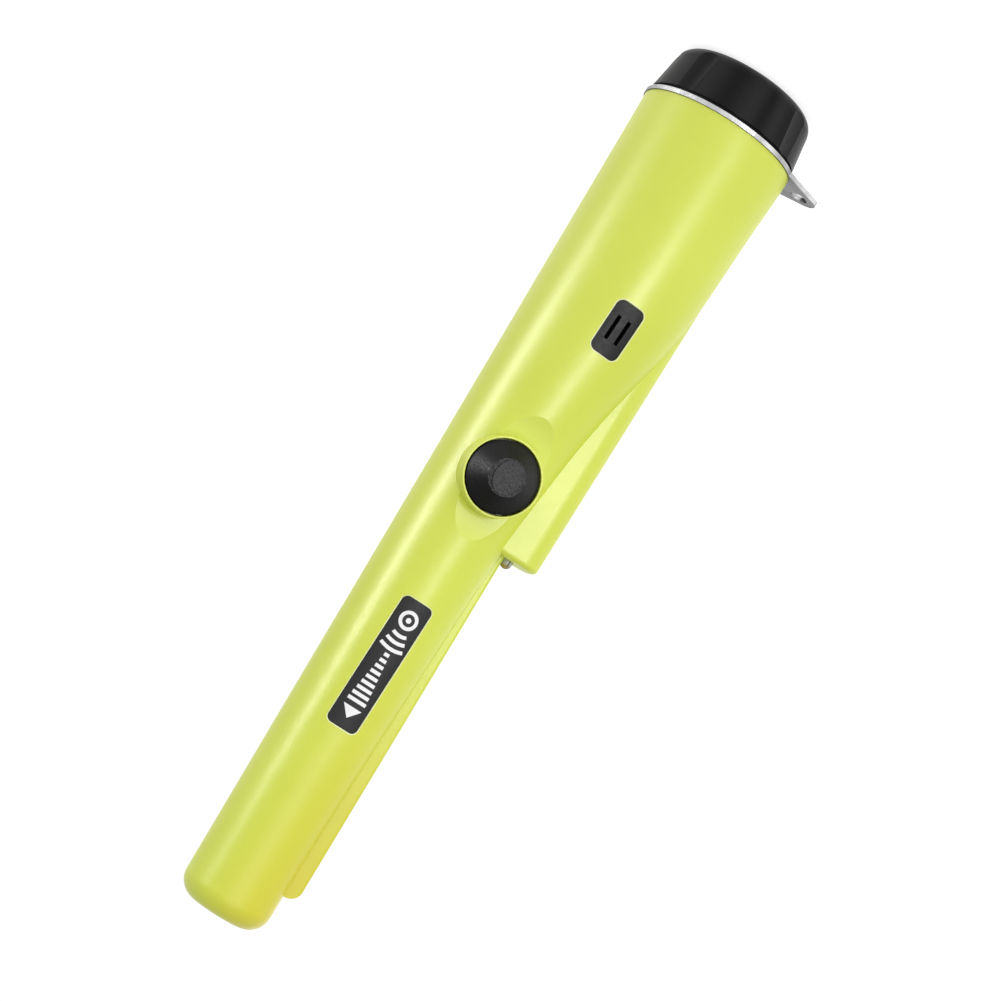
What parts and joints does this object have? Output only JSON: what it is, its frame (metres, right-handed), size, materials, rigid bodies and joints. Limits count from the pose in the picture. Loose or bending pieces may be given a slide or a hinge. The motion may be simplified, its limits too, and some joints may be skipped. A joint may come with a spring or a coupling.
{
  "type": "pinpointer probe",
  "caption": "Hand-held pinpointer metal detector probe: slim sensing tube on a flared grip, press button, sounder grille, light, scraper rib and screw-off battery cap.",
  "frame": {"origin": "centre of the screw cap's flat end face, which the probe stands on", "axes": "+Z along the probe to its tip, -Y the face with button and label, -X the side with scraper rib, light and lanyard lug"},
  "size_m": [0.0496, 0.0416, 0.2308],
  "materials": {
    "housing_plastic": "satin moulded, fine texture",
    "cap_plastic": "satin",
    "stamped_steel": "stamped, lightly brushed",
    "gasket_rubber": "matte",
    "foam": "soft foam",
    "button_rubber": "satin",
    "pad_plastic": "fine knurl",
    "label_plastic": "satin",
    "grille_plastic": "fine texture",
    "clear_epoxy": "clear",
    "inner_plastic": "moulded",
    "battery_case": "plain wrap",
    "contact_steel": "plated",
    "circuit_board": "solder mask",
    "chip_plastic": "moulded",
    "ferrite": "sintered",
    "copper": "enamelled wire",
    "wire_cover": "flexible"
  },
  "bodies": {
    "housing": {"housing": "housing_plastic", "label_plate": "label_plastic", "speaker_grille": "grille_plastic", "speaker": "chip_plastic", "led": "clear_epoxy", "led_holder": "inner_plastic", "battery": "battery_case", "battery_contacts": "contact_steel", "battery_bulkhead": "inner_plastic", "chassis": "inner_plastic", "main_board": "circuit_board", "board_parts": "chip_plastic", "tact_switch": "chip_plastic", "vibration_motor": "contact_steel", "motor_clip": "inner_plastic", "board_screws": "contact_steel", "ferrite_rod": "ferrite", "coil_spool": "inner_plastic", "search_coil": "copper", "coil_cushions": "foam", "button_seal": "gasket_rubber", "battery_leads": "wire_cover", "speaker_leads": "wire_cover", "led_leads": "wire_cover", "coil_leads": "wire_cover"},
    "cap_seat": {"cap_gasket": "gasket_rubber"},
    "battery_cap": {"battery_cap": "cap_plastic", "cap_pad": "foam"},
    "lanyard_ring": {"lanyard_ring": "stamped_steel"},
    "button": {"button_cap": "button_rubber", "button_pad": "pad_plastic", "button_clip": "stamped_steel"},
    "switch_plunger": {"switch_plunger": "inner_plastic"},
    "motor_weight": {"motor_weight": "stamped_steel"}
  },
  "joints": [
    {"name": "cap_lift", "type": "slide", "parent": "housing", "child": "cap_seat", "axis": [0, 0, -1], "range_m": [0, 0.0075]},
    {"name": "cap_turn", "type": "hinge", "parent": "cap_seat", "child": "battery_cap", "pos_m": [0, 0, 0.0127], "axis": [0, 0, -1], "range_deg": [0, 900]},
    {"name": "ring_swivel", "type": "hinge", "parent": "cap_seat", "child": "lanyard_ring", "pos_m": [0, 0, 0.0142], "axis": [0, 0, 1], "continuous": true},
    {"name": "button_press", "type": "slide", "parent": "housing", "child": "button", "axis": [0, 1, 0], "range_m": [0, 0.0006], "stiffness_N_per_m": 1500},
    {"name": "switch_press", "type": "slide", "parent": "housing", "child": "switch_plunger", "axis": [0, 1, 0], "range_m": [0, 0.0006]},
    {"name": "motor_spin", "type": "hinge", "parent": "housing", "child": "motor_weight", "pos_m": [0.002, 0.0054, 0.09], "axis": [0, 0, 1], "continuous": true}
  ],
  "couplings": [
    {"joint": "cap_turn", "follows": "cap_lift", "rad_per_m": 2094.4},
    {"joint": "switch_press", "follows": "button_press", "ratio": 1}
  ]
}
